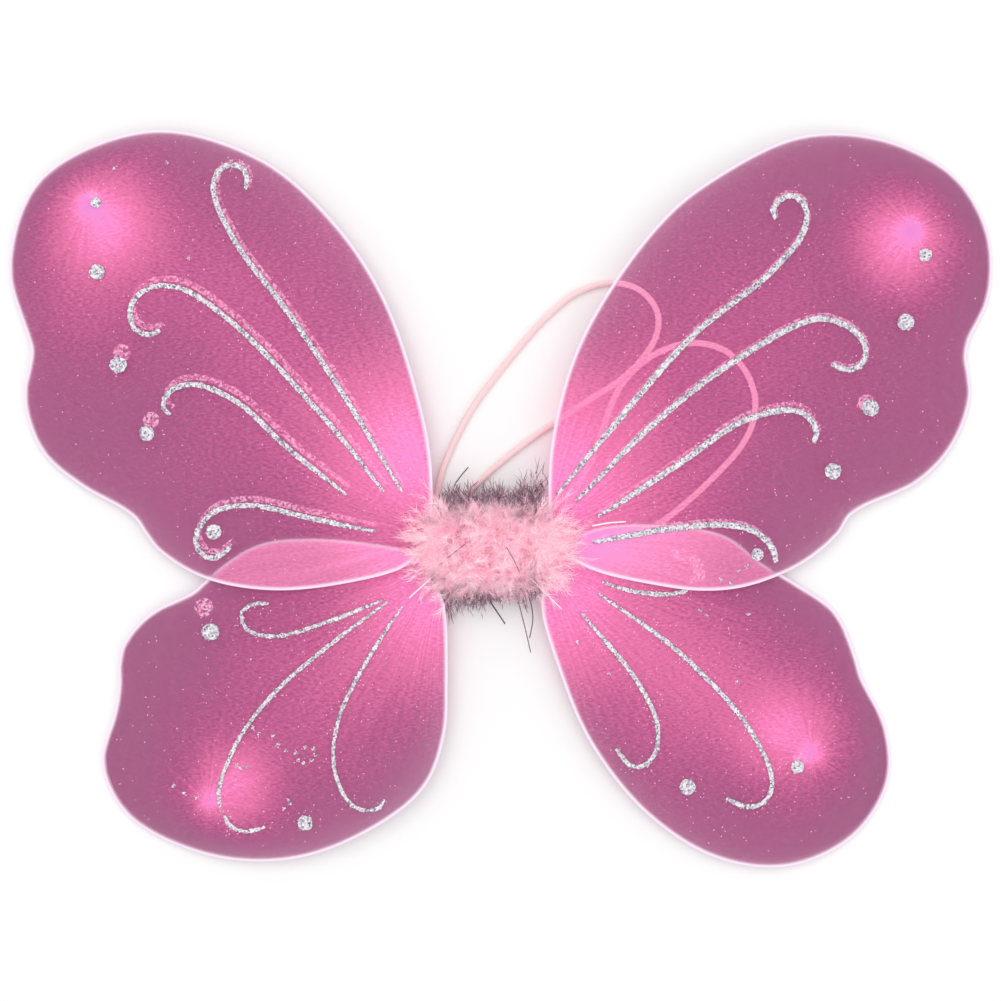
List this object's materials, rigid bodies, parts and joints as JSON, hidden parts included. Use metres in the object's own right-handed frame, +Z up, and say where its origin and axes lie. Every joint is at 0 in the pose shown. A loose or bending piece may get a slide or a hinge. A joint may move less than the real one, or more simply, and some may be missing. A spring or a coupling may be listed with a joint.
{
  "type": "fairy wings",
  "caption": "Child's fairy wings: sheer nylon over bent wire loops with glitter swirls, a feather trim at the middle and elastic arm loops, lying face up.",
  "frame": {"origin": "under the middle of the wings' outline, on the surface that they lie on", "axes": "+X across the span to the right as one faces the glittered side, +Y towards the upper wings' tops, +Z up out of the glittered side"},
  "size_m": [0.4813, 0.3598, 0.0285],
  "materials": {
    "coated_wire": "white plastic coat on steel wire",
    "nylon": "sheer stretch nylon, two layers",
    "nylon_knot": "the same nylon, gathered and tied",
    "glitter": "silver glitter in clear glue",
    "thread": "sewing thread",
    "tape": "florist's cloth tape",
    "cord": "twisted cotton cord",
    "marabou": "dyed marabou down with dusky tips",
    "elastic": "round braided elastic"
  },
  "bodies": {
    "middle": {"binding_tape": "tape", "boa_core_cord": "cord", "feather_boa": "marabou", "strap_loop_left": "elastic", "strap_loop_right": "elastic", "stem_upper_left": "coated_wire", "stem_upper_right": "coated_wire", "stem_lower_left": "coated_wire", "stem_lower_right": "coated_wire"},
    "left_lower_wing": {"wire_lower_left": "coated_wire", "cover_lower_left": "nylon", "root_lashing_lower_left": "thread", "tip_knot_lower_left": "nylon_knot", "glitter_line_lower_left_1": "glitter", "glitter_line_lower_left_2": "glitter", "glitter_line_lower_left_3": "glitter", "glitter_dot_lower_left_1": "glitter", "glitter_dot_lower_left_2": "glitter"},
    "left_upper_wing": {"wire_upper_left": "coated_wire", "cover_upper_left": "nylon", "root_lashing_upper_left": "thread", "tip_knot_upper_left": "nylon_knot", "glitter_line_upper_left_1": "glitter", "glitter_line_upper_left_2": "glitter", "glitter_line_upper_left_3": "glitter", "glitter_line_upper_left_4": "glitter", "glitter_dot_upper_left_1": "glitter", "glitter_dot_upper_left_2": "glitter", "glitter_dot_upper_left_3": "glitter", "glitter_dot_upper_left_4": "glitter", "glitter_dot_upper_left_5": "glitter"},
    "right_lower_wing": {"wire_lower_right": "coated_wire", "cover_lower_right": "nylon", "root_lashing_lower_right": "thread", "tip_knot_lower_right": "nylon_knot", "glitter_line_lower_right_1": "glitter", "glitter_line_lower_right_2": "glitter", "glitter_line_lower_right_3": "glitter", "glitter_dot_lower_right_1": "glitter", "glitter_dot_lower_right_2": "glitter"},
    "right_upper_wing": {"wire_upper_right": "coated_wire", "cover_upper_right": "nylon", "root_lashing_upper_right": "thread", "tip_knot_upper_right": "nylon_knot", "glitter_line_upper_right_1": "glitter", "glitter_line_upper_right_2": "glitter", "glitter_line_upper_right_3": "glitter", "glitter_line_upper_right_4": "glitter", "glitter_dot_upper_right_1": "glitter", "glitter_dot_upper_right_2": "glitter", "glitter_dot_upper_right_3": "glitter", "glitter_dot_upper_right_4": "glitter", "glitter_dot_upper_right_5": "glitter"}
  },
  "joints": [
    {"name": "left_fold", "type": "hinge", "parent": "middle", "child": "left_lower_wing", "pos_m": [-0.028, -0.024, 0.013], "axis": [0, 1, 0], "range_deg": [0, 60]},
    {"name": "left_upper_bend", "type": "hinge", "parent": "left_lower_wing", "child": "left_upper_wing", "pos_m": [-0.028, -0.024, 0.013], "axis": [0, 1, 0], "range_deg": [0, 25]},
    {"name": "right_fold", "type": "hinge", "parent": "middle", "child": "right_lower_wing", "pos_m": [0.019, -0.024, 0.013], "axis": [0, -1, 0], "range_deg": [0, 60]},
    {"name": "right_upper_bend", "type": "hinge", "parent": "right_lower_wing", "child": "right_upper_wing", "pos_m": [0.019, -0.024, 0.013], "axis": [0, -1, 0], "range_deg": [0, 25]}
  ]
}
